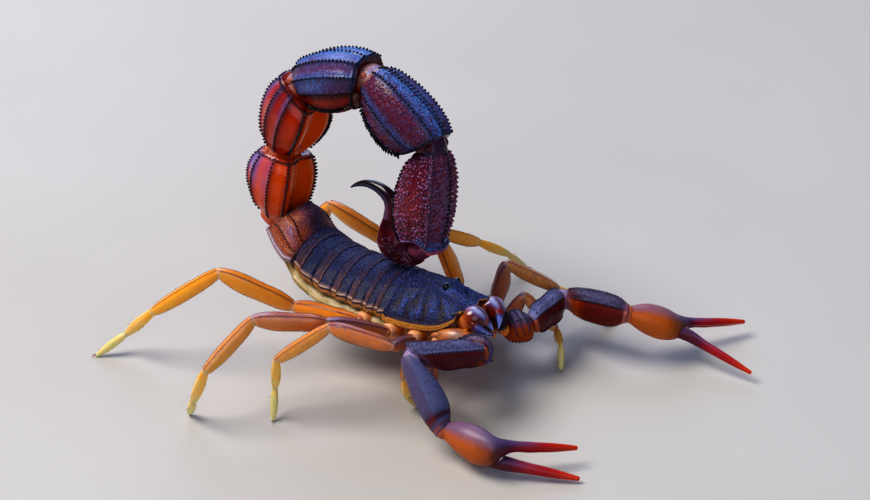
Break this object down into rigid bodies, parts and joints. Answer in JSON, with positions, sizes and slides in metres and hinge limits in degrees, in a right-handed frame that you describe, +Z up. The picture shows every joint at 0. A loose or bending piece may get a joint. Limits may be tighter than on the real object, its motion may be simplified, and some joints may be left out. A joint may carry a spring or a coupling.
{
  "type": "scorpion",
  "caption": "Thick-tailed scorpion as a still, life-size figure, standing with its pincers held low and its tail arched over its back.",
  "frame": {"origin": "centre of the bounding box's bottom, on the floor under the animal", "axes": "+Z up, the head towards -Y, the animal's left towards +X"},
  "size_m": [0.0582, 0.0778, 0.0409],
  "materials": {
    "back_plate": "satin",
    "eye": "glossy",
    "jaw": "glossy",
    "coxa_amber": "satin",
    "belly_plate": "satin",
    "comb": "satin",
    "tail_red": "glossy",
    "tail_dark": "satin",
    "sting": "glossy",
    "leg_amber": "satin",
    "palm": "glossy",
    "finger_red": "glossy",
    "pincer_arm": "satin"
  },
  "bodies": {
    "root": {"carapace": "back_plate", "chelicera_left": "jaw", "chelicera_right": "jaw", "eye_left": "eye", "eye_right": "eye", "leg_left_1_femur": "leg_amber", "leg_left_1_foot": "leg_amber", "leg_left_1_patella": "leg_amber", "leg_left_2_femur": "leg_amber", "leg_left_2_foot": "leg_amber", "leg_left_2_patella": "leg_amber", "leg_left_3_femur": "leg_amber", "leg_left_3_foot": "leg_amber", "leg_left_3_patella": "leg_amber", "leg_left_4_femur": "leg_amber", "leg_left_4_foot": "leg_amber", "leg_left_4_patella": "leg_amber", "leg_right_1_femur": "leg_amber", "leg_right_1_foot": "leg_amber", "leg_right_1_patella": "leg_amber", "leg_right_2_femur": "leg_amber", "leg_right_2_foot": "leg_amber", "leg_right_2_patella": "leg_amber", "leg_right_3_femur": "leg_amber", "leg_right_3_foot": "leg_amber", "leg_right_3_patella": "leg_amber", "leg_right_4_femur": "leg_amber", "leg_right_4_foot": "leg_amber", "leg_right_4_patella": "leg_amber", "metasoma_1": "tail_red", "metasoma_2": "tail_red", "metasoma_3": "tail_dark", "metasoma_4": "tail_dark", "metasoma_5": "tail_dark", "pectine_left": "comb", "pectine_right": "comb", "pedipalp_left_femur": "pincer_arm", "pedipalp_left_finger": "finger_red", "pedipalp_left_palm": "palm", "pedipalp_left_patella": "pincer_arm", "pedipalp_left_trochanter": "pincer_arm", "pedipalp_right_femur": "pincer_arm", "pedipalp_right_finger": "finger_red", "pedipalp_right_palm": "palm", "pedipalp_right_patella": "pincer_arm", "pedipalp_right_trochanter": "pincer_arm", "prosoma_underside": "coxa_amber", "sternites": "belly_plate", "sting": "sting", "telson_vesicle": "tail_dark", "tergite_1": "back_plate", "tergite_2": "back_plate", "tergite_3": "back_plate", "tergite_4": "back_plate", "tergite_5": "back_plate", "tergite_6": "back_plate", "tergite_7": "back_plate"}
  },
  "joints": []
}
